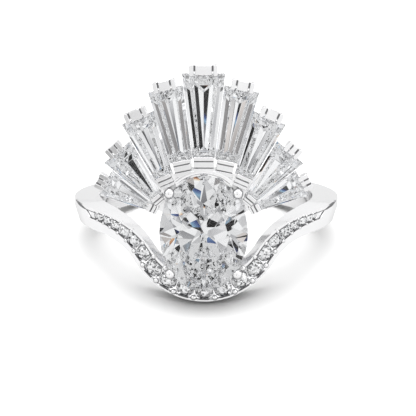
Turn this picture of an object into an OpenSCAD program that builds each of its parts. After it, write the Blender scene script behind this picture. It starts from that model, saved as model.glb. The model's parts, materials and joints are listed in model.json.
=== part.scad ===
// Baguette diamond ring: an oval diamond under a fan of nine tapered baguettes,
// on a curved band set with a graduated row of small round diamonds.
// The ring lies on its side, as it rests by itself, with the head towards -Y.

/* [Finger ring] */
// Inside diameter of the finger hole
finger_d = 16.9; // [14:0.1:20]
// Thickness of the band, from the finger outwards
band_t = 2; // [1.6:0.1:2.4]
// Height that the shank's top loses from the shoulders to the back
shank_taper = 0.45; // [0:0.05:0.8]
// Height at which the bevel of the shank's outside begins
bevel_z = 1.6; // [1.2:0.1:2]
// Slope of that bevel, inwards for each millimetre down
bevel_slope = 0.42; // [0.1:0.02:0.6]

/* [Curved front of the band] */
// Height of the curved front of the band
front_w = 1.55; // [1.3:0.05:1.8]
// How far the front dips below the underside of the shank
dip = 3.42; // [2.8:0.02:3.8]
// Radius of the dip along its lower edge
dip_r = 6.04; // [5.6:0.02:6.4]
// Distance of each shoulder's bend from the middle
bend_x = 7.735; // [7.5:0.005:8]
// Height of the shoulders' lower edge above the underside of the shank
bend_top = 0.745; // [0.4:0.005:1]
// Distance in front of the finger's axis where the curved front begins
seam_y = 3.5; // [2:0.1:4]
// How far the curved front's inner face stands back from the finger
relief = 0.05; // [0.02:0.01:0.1]

/* [Oval diamond] */
// Width of the oval diamond
oval_w = 6; // [5:0.1:7]
// Length of the oval diamond
oval_l = 8.1; // [7:0.1:9]
// Distance of the oval's girdle from the finger's axis
oval_out = 12; // [11.6:0.1:13]
// Height of the oval's centre above the underside of the shank
oval_z = 1.9; // [1.5:0.05:2.4]
// Height of the oval's crown above its girdle
oval_crown = 1; // [0.8:0.05:1.1]
// Depth of the oval's pavilion below its girdle
oval_pavilion = 2.5; // [2:0.1:2.8]
// Width of the table as a share of the stone's width
oval_table = 0.58; // [0.5:0.01:0.65]
// Thickness of the oval's girdle at the facets' corners
oval_girdle = 0.1; // [0.08:0.01:0.16]
// Radius of the four round claws
claw_r = 0.37; // [0.3:0.01:0.45]

/* [Fan of baguettes] */
// Distance of the baguettes' girdle from the finger's axis
fan_out = 11.45; // [11.2:0.05:11.8]
// Height of the baguettes' crown above their girdle
fan_crown = 0.42; // [0.3:0.02:0.5]
// Depth of the baguettes' pavilion below their girdle
fan_pavilion = 1.15; // [0.9:0.05:1.2]
// Thickness of the baguettes' girdle
girdle = 0.06; // [0.04:0.01:0.1]
// Width of the rail that carries each baguette
rail_w = 0.55; // [0.4:0.05:0.8]
// How far an outer claw stands out past its stone
claw_past = 0.6; // [0.4:0.02:0.7]
// How far a claw's lip reaches over its stone
claw_over = 0.14; // [0.08:0.02:0.2]

/* [Row of small diamonds] */
// Diameter of the largest small diamonds, at the middle of the row
pave_d = 1.22; // [1:0.02:1.3]
// Number of small diamonds on each side of the middle one
pave_n = 10; // [6:1:12]
// Width of the polished rim above the row
pave_rim = 0.16; // [0.1:0.02:0.24]
// Depth of the channel that the row lies in
pave_deep = 0.12; // [0.08:0.02:0.2]
// Gap between neighbouring small diamonds
pave_gap = 0.13; // [0.1:0.01:0.2]

/* [Hidden] */
$fn = 64;
gap = 0.04;        // clearance between a stone and its metal
finger_r = finger_d / 2;
band_r = finger_r + band_t;
front_top = bend_top + front_w;
taper_slope = shank_taper / (band_r + seam_y);
under_y = 3;       // where the underside comes down to the level of the back
bevel_shift = 0.53;
bead_out = 0.5;    // distance of the beads from the row's line, for each unit of diameter
row_end = 9.1;     // where the row's channel ends, from the middle
rail_t = 0.45;     // thickness of the rails behind the fan
rail_out = fan_out - fan_pavilion - girdle / 2 - gap - rail_t;

// Centres and radii of the arcs that shape the front of the band, as seen from the front.
dip_c = [0, dip_r - dip];
bend_h = bend_top - dip_c.y;
bend_r = (pow(bend_x, 2) + pow(bend_h, 2) - pow(dip_r, 2)) / (2 * (dip_r + bend_h));
bend_c = [bend_x, bend_top - bend_r];
to_bend = (bend_c - dip_c) / norm(bend_c - dip_c);
turn_angle = atan2(to_bend.x, -to_bend.y);
rim_r = dip_r - front_w;

// The ring rests on the tip of the dip and on the back of the shank.
rest_tilt = atan(dip / (2 * finger_r + relief));
rest_lift = finger_r * sin(rest_tilt);
back_y = band_r * cos(rest_tilt) + (front_top - shank_taper) * sin(rest_tilt);
front_y = (oval_out + oval_crown + oval_girdle / 2) * cos(rest_tilt)
        + (oval_l * oval_table / 2 - oval_z) * sin(rest_tilt);
rest_y = (front_y - back_y) / 2;

// One row for each baguette from the middle to the side. x and z place the middle of its
// narrow end, lean is its slant, long its length, wide and narrow its two ends' widths,
// grip the width of its outer claw, hold the width of its inner claw and foot that claw's
// length.
// [x, z, lean, long, wide, narrow, grip, hold, foot]
FAN = [
    [0.00, 7.05, 0.0, 5.65, 2.80, 1.44, 1.88, 1.36, 0.95],
    [1.51, 6.80, 11.8, 4.99, 2.30, 1.45, 1.52, 1.16, 0.95],
    [2.68, 5.76, 23.3, 4.36, 2.26, 1.23, 1.54, 1.00, 0.72],
    [3.21, 4.38, 40.1, 4.03, 2.30, 0.79, 1.14, 0.72, 0.55],
    [3.66, 3.74, 61.7, 3.40, 1.90, 0.62, 1.06, 0.56, 0.60]
];

METAL = "gainsboro";
STONE = "azure";

// Baguettes are numbered from the left side of the fan to the right.
function fan_row(i) = FAN[abs(i - 5)];
function fan_side(i) = sign(i - 5);

// A point of the small diamonds' row in the front view: s is the length run from the
// middle along the upper rim's own arcs, and inset the distance below that rim.
ROW_BEND = rim_r * turn_angle * PI / 180;
function row_point(s, inset) =
    s < ROW_BEND
    ? let (a = s / rim_r * 180 / PI)
        dip_c + (rim_r + inset) * [sin(a), -cos(a)]
    : let (b = (s - ROW_BEND) / (bend_r + front_w) * 180 / PI)
        b < turn_angle
        ? bend_c + (bend_r + front_w - inset) * [-sin(turn_angle - b), cos(turn_angle - b)]
        : [bend_x + (b - turn_angle) * PI / 180 * (bend_r + front_w), front_top - inset];

// The same point wrapped on the band's outer face.
function wrap(p) = [p.x, -sqrt(pow(band_r, 2) - pow(p.x, 2)), p.y];
function wrap_angle(p) = asin(p.x / band_r);

// Small diamonds keep their size over the first four and then shrink steadily.
function small_d(k) = pave_d * (k < 4 ? 1 : pow(0.885, k - 3));
function small_inset(k) = pave_rim + small_d(k) / 2;

// Runs along the rim until the next stone is its spacing away, and lists where each sits.
function run_to(s, from, k, want) =
    norm(wrap(row_point(s, small_inset(k))) - from) >= want
    ? s
    : run_to(s + 0.01, from, k, want);
function small_runs(k, s) =
    k > pave_n
    ? []
    : concat([s], k == pave_n ? [] : let (
        here = wrap(row_point(s, small_inset(k))),
        want = (small_d(k) + small_d(k + 1)) / 2 + pave_gap
      ) small_runs(k + 1, run_to(s + want * 0.5, here, k + 1, want)));
SMALL_RUNS = small_runs(0, 0);
function small_at(k) = row_point(SMALL_RUNS[k], small_inset(k));

// Between one small diamond and the next: the middle in the front view, the row's slant on
// the band's face, the mean diameter, and the place of the bead below the row.
function pair_mid(k) = (small_at(k) + small_at(k + 1)) / 2;
function pair_slant(k) = let (step = small_at(k + 1) - small_at(k))
    atan2(step.y, step.x / cos(wrap_angle(pair_mid(k))));
function pair_d(k) = (small_d(k) + small_d(k + 1)) / 2;
function bead_low(k) = pair_mid(k) + bead_out * pair_d(k)
    * [sin(pair_slant(k)) * cos(wrap_angle(pair_mid(k))), -cos(pair_slant(k))];

// Lays the ring down in the pose in which it rests.
module at_rest() {
    translate([0, rest_y, rest_lift]) rotate([-rest_tilt, 0, 0]) children();
}

// Extrudes a front view between two distances in front of the finger's axis.
module front_slab(near, far) {
    translate([0, -near, 0]) rotate([90, 0, 0]) linear_extrude(far - near) children();
}

// Puts a piece on the front view, with its own +Z towards the front.
module on_front(x, z, out, spin = 0) {
    translate([x, -out, z]) rotate([90, 0, 0]) rotate([0, 0, spin]) children();
}

// Puts a piece on the band's outer face, with its own +Z pointing outwards.
module on_band(p, out) {
    translate([0, 0, p.y]) rotate([0, 0, wrap_angle(p)]) translate([0, -out, 0])
        rotate([90, 0, 0]) children();
}

// Puts a piece at the narrow end of a baguette, with its own +Y along the stone.
module on_fan(i, out) {
    row = fan_row(i);
    on_front(fan_side(i) * row[0], row[1], out, -fan_side(i) * row[2]) children();
}

// A round pin that ends in half a ball.
module domed_pin(r, h) {
    cylinder(r = r, h = h);
    translate([0, 0, h]) intersection() {
        sphere(r);
        translate([-r, -r, 0]) cube(2 * r);
    }
}

// A rectangle with rounded corners, drawn from its middle.
module soft_rect(w, h, r) {
    square([w - 2 * r, h], center = true);
    square([w, h - 2 * r], center = true);
    for (sx = [-1, 1], sy = [-1, 1])
        translate([sx * (w / 2 - r), sy * (h / 2 - r)]) circle(r);
}

// An oval outline with short straight sides.
module oval(w, l) {
    sides = 32;
    polygon([for (i = [0 : sides - 1]) let (a = i * 360 / sides) [w / 2 * cos(a), l / 2 * sin(a)]]);
}

// One arc of the band's front view, carried back to the seam: a ring of two radii about a
// centre, kept inside a wedge that starts at that centre.
module front_arc(centre, inner, outer, wedge) {
    intersection() {
        front_slab(seam_y, band_r + 1) translate(centre) circle(outer);
        front_slab(seam_y - 1, band_r + 2) polygon(wedge);
        difference() {
            front_slab(seam_y - 2, band_r + 3) translate(centre) circle(outer + 1);
            front_slab(seam_y - 3, band_r + 4) translate(centre) circle(inner);
        }
    }
}

// The band's front view, set in from its upper and lower edges: the dip, the shoulders'
// bends and the runs outwards.
module front_view(above, below) {
    far = 20;
    bend_m = [-bend_c.x, bend_c.y];
    front_arc(dip_c, rim_r + above, dip_r - below, [
        dip_c, bend_m, [-bend_x, -far], [bend_x, -far], bend_c
    ]);
    for (side = [-1, 1]) mirror([side < 0 ? 1 : 0, 0, 0]) {
        front_arc(bend_c, bend_r + below, bend_r + front_w - above, [
            bend_c, [bend_x, far], [0, far], dip_c
        ]);
        translate([bend_x, -band_r - 1, bend_top + below])
            cube([band_t * 2, band_r + 1 - seam_y, front_w - above - below]);
    }
}

// Upright tube that keeps a front view inside the band's thickness.
module band_tube(inner, outer) {
    difference() {
        translate([0, 0, -dip - 1]) cylinder(r = outer, h = dip + 5);
        translate([0, 0, -dip - 2]) cylinder(r = inner, h = dip + 7);
    }
}

module band_front() {
    intersection() {
        front_view(0, 0);
        band_tube(finger_r + relief, band_r);
    }
}

// Channel around the row: a polished rim above it, and below it straight walls from bead to
// bead, which narrow it to a point on each shoulder.
module row_channel() {
    right = concat([for (k = [0 : pave_n - 1]) bead_low(k)], [[row_end, front_top - 0.1]]);
    left = [for (k = [pave_n : -1 : 0]) [-right[k].x, right[k].y]];
    intersection() {
        front_view(pave_rim, 0);
        band_tube(band_r - pave_deep, band_r + 0.5);
        front_slab(1, 20) polygon(concat(
            right, [[row_end, front_top + 1], [-row_end, front_top + 1]], left
        ));
    }
}

// Plain shank behind the seam, lower at the back and rising under each shoulder.
module shank() {
    size = 40;
    rise = bend_top / (seam_y + under_y);
    difference() {
        rotate_extrude() translate([finger_r, 0]) polygon([
            [0, 0], [band_t, band_t * 0.275], [band_t, front_top], [0, front_top]
        ]);
        translate([-size / 2, -size - seam_y, -size / 2]) cube(size);
        translate([0, -seam_y, front_top]) rotate([-atan(taper_slope), 0, 0])
            translate([-size / 2, 0, 0]) cube(size);
        translate([0, under_y, 0]) rotate([-atan(rise), 0, 0])
            translate([-size / 2, -size, -size]) cube(size);
    }
}

// Ring of waste that bevels the band's outside towards its lower edge.
module bevel_ring() {
    low = 3;
    rotate_extrude() polygon([
        [band_r, bevel_z], [band_r + 3, bevel_z], [band_r + 3, bevel_z - low],
        [band_r - low * bevel_slope, bevel_z - low]
    ]);
}

// The bevel is full along the back half and fades out along each shoulder.
module band_bevel() {
    size = 40;
    intersection() {
        bevel_ring();
        translate([-size / 2, 0, -size / 2]) cube(size);
    }
    intersection() {
        translate([0, -bevel_shift, 0]) bevel_ring();
        translate([-size / 2, -size, -size / 2]) cube(size);
        union() for (side = [-1, 1])
            translate([side * (bend_x + size / 2), 0, 0]) cube([size, 2 * size, size], center = true);
    }
}

// Channel and pockets that hold the small diamonds.
module row_seats() {
    row_channel();
    for (side = [-1, 1], k = [0 : pave_n]) if (side > 0 || k > 0) {
        d = small_d(k);
        mirror([side < 0 ? 1 : 0, 0, 0])
            on_band(small_at(k), band_r - pave_deep - 0.43 * d - 2 * gap)
                cylinder(d = d + 2 * gap, h = d + 1);
    }
}

// Beads raised between the small diamonds, above and below the row.
module row_beads() {
    for (side = [-1, 1], k = [0 : pave_n - 1]) mirror([side < 0 ? 1 : 0, 0, 0]) {
        r = pair_d(k) * 0.18;
        on_band(pair_mid(k), band_r - 0.4) rotate([0, 0, pair_slant(k)]) for (s = [-1, 1])
            translate([0, s * pair_d(k) * bead_out, 0]) domed_pin(r, 0.42 - r);
    }
}

// Oval gallery behind the stone, and the collar that shows above it.
module gallery() {
    ring_w = oval_w - 0.2;
    ring_l = oval_l - 0.5;
    collar_w = oval_w + 0.8;
    collar_l = oval_l + 0.5;
    translate([0, 0, oval_z]) {
        front_slab(rail_out, oval_out - 1.1) difference() {
            oval(ring_w, ring_l);
            oval(ring_w - 1.3, ring_l - 1.3);
        }
        front_slab(fan_out - 1, oval_out - 0.1) intersection() {
            difference() {
                oval(collar_w, collar_l);
                oval(collar_w - 0.6, collar_l - 0.4);
            }
            translate([-1.7, 0]) square([3.4, 6]);
        }
    }
}

// Round claws with domed tips, notched where the oval's girdle sits in them. The two lower
// claws run on into the band.
module round_claws() {
    post_x = oval_w / 2 - 0.7;
    post_z = oval_l / 2 - 1.23;
    tip = oval_out + 0.4;
    difference() {
        for (sx = [-1, 1], sz = [-1, 1]) {
            x = sx * post_x;
            z = oval_z + sz * post_z;
            on_front(x, z, rail_out) domed_pin(claw_r, tip - rail_out);
        }
        translate([0, 0, oval_z]) front_slab(oval_out - 0.5, oval_out + 0.34)
            oval(oval_w + 3 * gap, oval_l + 3 * gap);
    }
    for (sx = [-1, 1]) translate([sx * post_x, -rail_out - 0.3, oval_z - post_z])
        rotate([-112, 0, 0]) cylinder(r = claw_r * 0.86, h = 1.3);
}

// Rail, outer claw and inner claw of one baguette, drawn from its narrow end.
module fan_seat(i) {
    row = fan_row(i);
    long = row[3];
    grip = row[6];
    hold = row[7];
    foot = row[8];
    keel = -girdle / 2 - fan_pavilion - gap;
    keel_far = long - row[4] * 0.45;
    past = claw_past - gap;
    lip_z = 0.24;
    top = fan_crown + 0.16;
    on_fan(i, fan_out) {
        // Rail under the keel, rising behind the wide end to the outer claw.
        translate([rail_w / 2, 0, 0]) rotate([90, 0, -90]) linear_extrude(rail_w) polygon([
            [foot + 0.55, keel], [foot + 0.55, keel - rail_t], [-keel_far - 0.1, keel - rail_t],
            [-long - claw_past + 0.06, -0.7], [-long - claw_past + 0.06, -0.1],
            [-long - 2 * gap, -0.1], [-keel_far - 0.05, keel]
        ]);
        // Outer claw: a rounded block with a lip over the stone.
        translate([0, long + gap + past / 2, -0.3])
            linear_extrude(top + 0.3) soft_rect(grip, past, 0.14);
        translate([0, long + (claw_past - claw_over) / 2, lip_z])
            linear_extrude(top - lip_z) soft_rect(grip, claw_past + claw_over, 0.14);
        // Inner claw: a block that steps up to a bar over the narrow end.
        translate([-hold * 0.49, -foot, keel - rail_t])
            cube([hold * 0.98, foot - gap, rail_t - keel + 0.12]);
        translate([0, (claw_over - 0.26) / 2, lip_z])
            linear_extrude(top - lip_z) soft_rect(hold, claw_over + 0.26, 0.08);
        translate([-hold * 0.49, -0.26, 0]) cube([hold * 0.98, 0.26 - gap, lip_z + 0.1]);
        translate([0, -foot + 0.16, 0])
            linear_extrude(top - 0.12) soft_rect(hold * 0.98, 0.26, 0.08);
    }
}

// All the metal of the ring, soldered into one piece.
module setting() {
    color(METAL) at_rest() {
        difference() {
            union() {
                shank();
                band_front();
            }
            band_bevel();
            row_seats();
        }
        row_beads();
        gallery();
        round_claws();
        for (i = [1 : 9]) fan_seat(i);
    }
}

// Face lists are written counter-clockwise from outside and turned round in one place.
function clockwise(faces) = [for (f = faces) [for (j = [len(f) - 1 : -1 : 0]) f[j]]];

// Corners of one level of a brilliant, on an ellipse, turned by a share of their spacing.
function ring_points(n, rx, ry, z, turn) =
    [for (i = [0 : n - 1]) let (a = (i + turn) * 360 / n) [rx * cos(a), ry * sin(a), z]];

// Corners of a girdle's edge. Between the facets' corners the edge follows the facet's
// plane, so every facet stays flat: fall is the plane's drop for each unit of radius.
function girdle_points(n, steps, rx, ry, z, fall) =
    [for (i = [0 : 2 * n * steps - 1]) let (
        a = i * 180 / (n * steps),
        mid = (floor(i / steps) + 0.5) * 180 / n
    ) [rx * cos(a), ry * sin(a), z - fall * (cos(a - mid) - cos(90 / n))]];

// A round or oval brilliant with its girdle at z = 0 and its table towards +Z. The rings
// between table and girdle and below the girdle sit where every kite facet is flat.
module brilliant(w, l, table, crown, pavilion, edge, steps) {
    n = 8;
    g = 2 * n * steps;
    out = (1 + table) / 2;
    in = 0.26;
    half = cos(180 / n);
    quarter = cos(90 / n);
    star = crown * (1 - out * half) / (1 - table);
    root = pavilion * (1 - in * half);
    points = concat(
        ring_points(n, w / 2 * table, l / 2 * table, edge / 2 + crown, 0.5),
        ring_points(n, w / 2 * out, l / 2 * out, edge / 2 + star, 0),
        girdle_points(n, steps, w / 2, l / 2, edge / 2, star / quarter / (1 - out)),
        girdle_points(n, steps, w / 2, l / 2, -edge / 2, -root / quarter / (1 - in)),
        ring_points(n, w / 2 * in, l / 2 * in, -edge / 2 - root, 0),
        [[0, 0, -edge / 2 - pavilion]]
    );
    mid = n;
    up = 2 * n;
    low = up + g;
    deep = low + g;
    culet = deep + n;
    faces = concat(
        [[for (i = [0 : n - 1]) i]],
        [for (i = [0 : n - 1]) [i, mid + (i + 1) % n, (i + 1) % n]],
        [for (i = [0 : n - 1]) [i, mid + i, up + (2 * i + 1) * steps, mid + (i + 1) % n]],
        [for (i = [0 : 2 * n - 1]) concat(
            [mid + ceil(i / 2) % n], [for (j = [0 : steps]) up + (i * steps + j) % g]
        )],
        [for (i = [0 : g - 1]) let (j = (i + 1) % g) [up + i, low + i, low + j, up + j]],
        [for (i = [0 : 2 * n - 1]) concat(
            [deep + ceil(i / 2) % n], [for (j = [steps : -1 : 0]) low + (i * steps + j) % g]
        )],
        [for (i = [0 : n - 1]) [low + (2 * i + 1) * steps, deep + i, culet, deep + (i + 1) % n]]
    );
    polyhedron(points, clockwise(faces));
}

// A tapered step cut with its narrow end at y = 0 and its table towards +Z. Every level's
// sides run parallel to the outline, and the keel deepens with the width, so all facets are
// flat.
module step_cut(long, wide, narrow, crown, pavilion, edge) {
    taper = (wide - narrow) / 2 / long;
    side_in = sqrt(1 + taper * taper);
    function half_at(y, inset) = narrow / 2 + taper * y - inset * side_in;
    function level(side, near, past, z) = let (
        a = half_at(near, side),
        b = half_at(long - past, side)
    ) [[-a, near, z], [a, near, z], [b, long - past, z], [-b, long - past, z]];
    step = narrow * 0.25;
    near = 0.5;
    wide_end = 0.56;
    deep = narrow * 0.3;
    low_z = -edge / 2 - pavilion * 0.62;
    tip = -(narrow / 2 - deep * side_in) / taper;
    keel_near = narrow * 0.55;
    keel_far = long - wide * 0.45;
    function keel_z(y) = low_z - pavilion * 0.38 * (y - tip) / (keel_far - tip);
    function ring(a) = [for (i = [0 : 3]) let (j = (i + 1) % 4) [a + i, a + 4 + i, a + 4 + j, a + j]];
    points = concat(
        level(step, near, wide_end, edge / 2 + crown),
        level(step * 0.5, near / 2, wide_end / 2, edge / 2 + crown * 0.66),
        level(0, 0, 0, edge / 2), level(0, 0, 0, -edge / 2), level(deep, deep, wide * 0.3, low_z),
        [[0, keel_near, keel_z(keel_near)], [0, keel_far, keel_z(keel_far)]]
    );
    faces = concat(
        [[0, 1, 2, 3]], ring(0), ring(4), ring(8), ring(12),
        [[16, 20, 17], [17, 20, 21, 18], [18, 21, 19], [19, 21, 20, 16]]
    );
    polyhedron(points, clockwise(faces));
}

module oval_diamond() {
    color(STONE) at_rest() on_front(0, oval_z, oval_out)
        brilliant(oval_w, oval_l, oval_table, oval_crown, oval_pavilion, oval_girdle, 3);
}

module baguette(i) {
    row = fan_row(i);
    color(STONE) at_rest() on_fan(i, fan_out)
        step_cut(row[3], row[4], row[5], fan_crown, fan_pavilion, girdle);
}

// The graduated row of small diamonds: loose stones, each clear of the next.
module small_diamonds() {
    color(STONE) at_rest() for (side = [-1, 1], k = [0 : pave_n]) if (side > 0 || k > 0) {
        d = small_d(k);
        mirror([side < 0 ? 1 : 0, 0, 0]) on_band(small_at(k), band_r - pave_deep)
            brilliant(d, d, 0.56, d * 0.15, d * 0.42, 0.03, 1);
    }
}

setting();
oval_diamond();
baguette(1);  // baguette_1
baguette(2);  // baguette_2
baguette(3);  // baguette_3
baguette(4);  // baguette_4
baguette(5);  // baguette_5
baguette(6);  // baguette_6
baguette(7);  // baguette_7
baguette(8);  // baguette_8
baguette(9);  // baguette_9
small_diamonds();
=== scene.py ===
"""Looks for a diamond ring: a fan of tapered baguettes over a claw-set oval, on a curved
band with a graduated row of small round stones. Shapes are worked out in the ring's own
frame, in millimetres (x to the right, y to the back, z along the finger), and are laid
down in the pose in which the ring rests."""

import json
import logging
from dataclasses import dataclass, field
from enum import Enum
from math import asin, atan, atan2, copysign, cos, hypot, pi, radians, sin, sqrt

import bmesh
import bpy
from mathutils import Matrix, Vector

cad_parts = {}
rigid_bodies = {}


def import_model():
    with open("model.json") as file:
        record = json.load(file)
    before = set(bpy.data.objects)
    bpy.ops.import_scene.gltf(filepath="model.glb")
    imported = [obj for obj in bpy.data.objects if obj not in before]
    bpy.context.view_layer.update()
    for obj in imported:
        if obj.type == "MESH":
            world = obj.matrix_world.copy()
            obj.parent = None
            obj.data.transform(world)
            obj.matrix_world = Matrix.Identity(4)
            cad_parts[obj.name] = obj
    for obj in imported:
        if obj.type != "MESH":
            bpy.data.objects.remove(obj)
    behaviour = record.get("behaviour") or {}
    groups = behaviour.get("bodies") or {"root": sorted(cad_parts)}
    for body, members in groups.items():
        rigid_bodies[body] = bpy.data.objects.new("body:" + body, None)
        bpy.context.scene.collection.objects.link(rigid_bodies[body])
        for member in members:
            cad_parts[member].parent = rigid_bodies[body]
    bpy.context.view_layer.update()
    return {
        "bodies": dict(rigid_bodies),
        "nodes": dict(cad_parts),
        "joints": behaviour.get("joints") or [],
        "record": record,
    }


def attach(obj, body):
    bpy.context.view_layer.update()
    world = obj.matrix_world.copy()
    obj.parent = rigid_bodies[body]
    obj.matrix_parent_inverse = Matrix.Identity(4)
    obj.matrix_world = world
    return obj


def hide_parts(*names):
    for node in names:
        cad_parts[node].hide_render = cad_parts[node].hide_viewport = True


LOG = logging.getLogger("ring")
MM = 0.001
IMAGE_SIDE = 416
SENSOR_MM = 36.0

Material = bpy.types.Material
Piece = bpy.types.Object
Socket = bpy.types.NodeSocket
Point2 = tuple[float, float]
Loop = list[Vector]
Tone = tuple[float, float, float]
Colour = tuple[float, float, float, float]
Stops = tuple[tuple[float, Tone], ...]
Inputs = dict[str | int, object]


class Edges(Enum):
    """How the edges of a piece are finished."""

    SOFT = 0.05
    FINE = 0.035
    FACET = 0.012
    CRISP = 0.0


class Cut(Enum):
    """Which part of the row of small stones a bead stands on."""

    ABOVE = 1.0
    BELOW = -1.0


class Fade(Enum):
    """How a ramp goes from one stop to the next."""

    SMOOTH = "LINEAR"
    STEPS = "CONSTANT"


@dataclass(frozen=True)
class RingSizes:
    """The ring's sizes that more than one piece follows, in millimetres."""

    finger_r: float = 8.45
    outer_r: float = 10.45
    front_w: float = 1.55
    dip: float = 3.42
    span: float = 16.95
    oval_w: float = 6.0
    oval_l: float = 8.1
    oval_z: float = 1.9
    oval_out: float = 12.0
    fan_out: float = 11.45
    rail_out: float = 9.78


RING = RingSizes()


@dataclass(frozen=True)
class RestingPose:
    """Where the ring's own frame lies once the ring rests on its side."""

    tilt: float = atan(RING.dip / RING.span)
    shift: float = 1.136266

    def matrix(self) -> Matrix:
        """Returns the matrix from the ring's frame in millimetres to the row's in metres."""
        lift = RING.finger_r * sin(self.tilt)
        move = Matrix.Translation(Vector((0.0, self.shift, lift)) * MM)
        return move @ Matrix.Rotation(-self.tilt, 4, "X") @ Matrix.Scale(MM, 4)


POSE = RestingPose()


def grey(level: float) -> Tone:
    """Returns a grey as its red, green and blue."""
    return level, level, level


@dataclass(frozen=True)
class Board:
    """Adds nodes to one node tree and joins them."""

    tree: bpy.types.NodeTree

    def fill(self, node: bpy.types.Node, inputs: Inputs) -> bpy.types.Node:
        """Links each named input of a node to a socket, or sets it to a value."""
        for name, value in inputs.items():
            if isinstance(value, Socket):
                self.tree.links.new(value, node.inputs[name])
            else:
                node.inputs[name].default_value = value
        return node

    def add(self, kind: str, inputs: Inputs) -> bpy.types.bpy_prop_collection:
        """Adds a node, fills its inputs and returns its outputs."""
        return self.fill(self.tree.nodes.new(kind), inputs).outputs

    def where(self, space: str = "Object") -> Socket:
        """Returns the coordinates of a surface or of the room."""
        return self.add("ShaderNodeTexCoord", {})[space]

    def noise(self, scale: float, detail: float = 2.0, space: str = "Object") -> Socket:
        """Returns the grey of a cloudy pattern of some fineness and detail."""
        return self.add("ShaderNodeTexNoise", {
            "Vector": self.where(space), "Scale": scale, "Detail": detail})["Fac"]

    def mix(self, factor: object, a: object, b: object, blend: str = "MIX") -> Socket:
        """Returns the mix of two colours, or another blend of them."""
        node = self.tree.nodes.new("ShaderNodeMix")
        node.data_type = "RGBA"
        node.blend_type = blend
        return self.fill(node, {"Factor": factor, "A": a, "B": b}).outputs["Result"]

    def ranged(self, value: Socket, inputs: Inputs) -> Socket:
        """Returns a value that is moved from one range to another."""
        return self.add("ShaderNodeMapRange", {"Value": value, **inputs})["Result"]

    def ramp(self, place: Socket, stops: Stops, fade: Fade = Fade.SMOOTH) -> Socket:
        """Adds a colour ramp.

        Args:
            place: what picks the place on the ramp.
            stops: where each stop lies, and its colour.
            fade: how one stop goes over to the next.

        Returns:
            The picked colour.
        """
        node = self.fill(self.tree.nodes.new("ShaderNodeValToRGB"), {"Fac": place})
        node.color_ramp.interpolation = fade.value
        elements = node.color_ramp.elements
        for i, (spot, tone) in enumerate(stops):
            stop = elements[i] if i < 2 else elements.new(spot)
            stop.position = spot
            stop.color = (*tone, 1.0)
        return node.outputs["Color"]


@dataclass(frozen=True)
class Finish:
    """A finish, made as a node material round one surface shader."""

    name: str = "finish"

    def material(self) -> Material:
        """Returns the node material."""
        mat = bpy.data.materials.new(self.name)
        mat.use_nodes = True
        board = Board(mat.node_tree)
        board.fill(mat.node_tree.nodes["Principled BSDF"], self.surface(board))
        return mat

    def surface(self, board: Board) -> Inputs:
        """Returns what the shader's inputs are set to or linked to."""
        raise NotImplementedError


@dataclass(frozen=True)
class PolishedMetal(Finish):
    """White precious metal, polished bright, with the faint uneven sheen of hand finishing.
    Its colour is painted greyer where the surface turns away from view: painted shade that
    outlines its rounded edges, as they would look in a bright room."""

    name: str = "polished_white_metal"
    bright: Colour = (0.95, 0.95, 0.955, 1.0)
    shade: Colour = (0.89, 0.89, 0.9, 1.0)
    smoothest: float = 0.05
    roughest: float = 0.13
    sheen_scale: float = 900.0
    grain_scale: float = 5200.0
    grain_deep: float = 0.00002
    ripple: float = 0.02
    # rim: the grey of the painted edge shade
    rim: Colour = (0.55, 0.55, 0.56, 1.0)
    turn_from: float = 0.7
    turn_to: float = 0.97

    def surface(self, board: Board) -> Inputs:
        """Returns the shader's inputs."""
        cloud = board.noise(self.sheen_scale, 3.0)
        facing = board.add("ShaderNodeLayerWeight", {"Blend": 0.5})["Facing"]
        painted_shade_share = board.ranged(facing, {"From Min": self.turn_from, "From Max": self.turn_to})
        bump = board.add("ShaderNodeBump", {"Height": board.noise(self.grain_scale),
                                            "Strength": self.ripple,
                                            "Distance": self.grain_deep})
        return {
            "Metallic": 1.0,
            # Painted edge shade: the colour turns to the rim grey where the surface faces away.
            "Base Color": board.mix(painted_shade_share, board.mix(cloud, self.bright, self.shade), self.rim),
            "Roughness": board.ranged(cloud, {"To Min": self.smoothest, "To Max": self.roughest}),
            "Normal": bump["Normal"],
        }


@dataclass(frozen=True)
class PaintedGrooveShade(Finish):
    """The same metal made near-black in narrow grooves and slots: painted shade, where little
    light reaches.
    """

    name: str = "groove_painted_shade"
    dark: Colour = (0.11, 0.11, 0.115, 1.0)
    less: Colour = (0.22, 0.22, 0.225, 1.0)
    rough: float = 0.45
    mottle: float = 1500.0

    def surface(self, board: Board) -> Inputs:
        """Returns the shader's inputs."""
        # Painted shade: near-black metal where the groove's bottom would lie in shadow.
        tone = board.mix(board.noise(self.mottle), self.dark, self.less)
        return {"Metallic": 1.0, "Roughness": self.rough, "Base Color": tone}


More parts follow.
